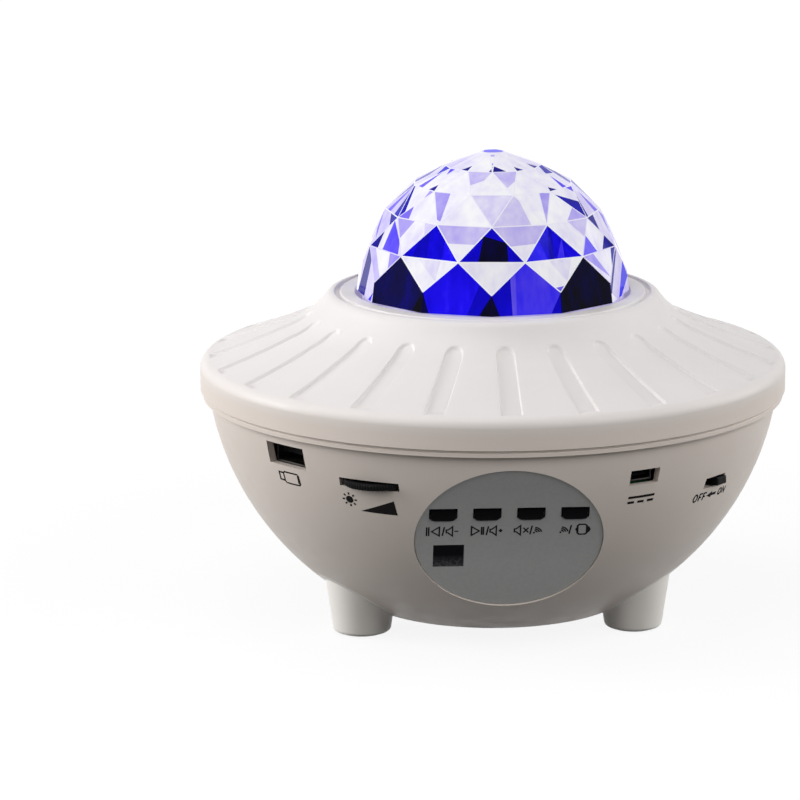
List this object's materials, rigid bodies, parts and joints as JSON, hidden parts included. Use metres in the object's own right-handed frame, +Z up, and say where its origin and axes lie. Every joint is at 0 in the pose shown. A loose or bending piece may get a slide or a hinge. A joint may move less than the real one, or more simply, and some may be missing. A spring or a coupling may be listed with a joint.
{
  "type": "star night light projector",
  "caption": "Saucer-shaped night light with a clear faceted dome, fluted lid, round control panel, speaker bowl and short feet; buttons, dial, slider and ripple disc move.",
  "frame": {"origin": "bottom centre of the bounding box: on the vertical axis of the saucer, at the underside of the foot pads", "axes": "+Z up along the dome's axis, -Y towards the control panel, +X to the right seen from the front"},
  "size_m": [0.165, 0.165, 0.132],
  "materials": {
    "casing_white": "satin moulded ABS",
    "dome_clear": "polished clear polycarbonate",
    "optic_clear": "clear moulded polycarbonate",
    "black_plastic": "black moulded ABS",
    "button_black": "black key plastic",
    "panel_grey": "satin grey printed film on ABS",
    "window_dark": "dark infrared-passing acrylic",
    "circuit_board": "solder-masked laminate",
    "white_board": "white solder mask on aluminium",
    "component_black": "moulded packages",
    "emitter": "phosphor and silicone",
    "steel": "bright zinc",
    "socket_steel": "tin-plated sheet",
    "aluminium": "extruded",
    "brass": "turned",
    "rubber_pad": "grey silicone rubber",
    "surround_rubber": "rolled rubber",
    "paper_cone": "pressed paper pulp",
    "magnet_ferrite": "bare ferrite with plated back plate",
    "reflector_chrome": "vacuum-metallised"
  },
  "bodies": {
    "housing": {"upper_cover": "casing_white", "lower_bowl": "casing_white", "foot_pads": "rubber_pad", "case_screws": "steel", "faceted_dome": "dome_clear", "dome_ring": "black_plastic", "lamp_cup": "black_plastic", "lamp_screws": "steel", "disc_axle": "steel", "axle_clip": "steel", "gear_motor": "steel", "heat_sink": "aluminium", "led_board": "white_board", "led_emitters": "emitter", "reflector": "reflector_chrome", "laser_module": "brass", "star_grating": "optic_clear", "control_panel": "panel_grey", "receiver_window": "window_dark", "key_board": "circuit_board", "key_switches": "component_black", "infrared_receiver": "component_black", "key_screws": "steel", "main_board": "circuit_board", "board_screws": "steel", "board_parts": "component_black", "usb_shell": "socket_steel", "usb_tongue": "component_black", "power_shell": "socket_steel", "power_tongue": "component_black", "dial_resistor": "component_black", "dial_cap": "steel", "slide_switch": "component_black", "speaker_frame": "steel", "speaker_magnet": "magnet_ferrite", "speaker_cone": "paper_cone", "speaker_surround": "surround_rubber", "speaker_screws": "steel"},
    "previous_button": {"previous_button": "button_black"},
    "play_button": {"play_button": "button_black"},
    "mute_button": {"mute_button": "button_black"},
    "source_button": {"source_button": "button_black"},
    "brightness_dial": {"brightness_dial": "black_plastic"},
    "power_slider": {"power_slider": "button_black"},
    "wave_disc": {"wave_disc": "optic_clear"},
    "drive_gear": {"drive_gear": "black_plastic", "motor_shaft": "steel"}
  },
  "joints": [
    {"name": "previous_press", "type": "slide", "parent": "housing", "child": "previous_button", "axis": [0, 0.866, 0.5], "range_m": [0, 0.0006], "stiffness_N_per_m": 800},
    {"name": "play_press", "type": "slide", "parent": "housing", "child": "play_button", "axis": [0, 0.866, 0.5], "range_m": [0, 0.0006], "stiffness_N_per_m": 800},
    {"name": "mute_press", "type": "slide", "parent": "housing", "child": "mute_button", "axis": [0, 0.866, 0.5], "range_m": [0, 0.0006], "stiffness_N_per_m": 800},
    {"name": "source_press", "type": "slide", "parent": "housing", "child": "source_button", "axis": [0, 0.866, 0.5], "range_m": [0, 0.0006], "stiffness_N_per_m": 800},
    {"name": "dial_turn", "type": "hinge", "parent": "housing", "child": "brightness_dial", "pos_m": [-0.03491, -0.06323, 0.05355], "axis": [0, 0, 1], "range_deg": [-135, 135]},
    {"name": "power_slide", "type": "slide", "parent": "housing", "child": "power_slider", "axis": [0.66, 0.7513, 0], "range_m": [-0.0036, 0]},
    {"name": "wave_disc_spin", "type": "hinge", "parent": "housing", "child": "wave_disc", "pos_m": [0, 0, 0.086], "axis": [0, 0, 1], "continuous": true},
    {"name": "drive_gear_spin", "type": "hinge", "parent": "housing", "child": "drive_gear", "pos_m": [0, 0.01285, 0.084], "axis": [0, 0, 1], "continuous": true}
  ],
  "couplings": [
    {"joint": "drive_gear_spin", "follows": "wave_disc_spin", "ratio": -1.6667}
  ]
}
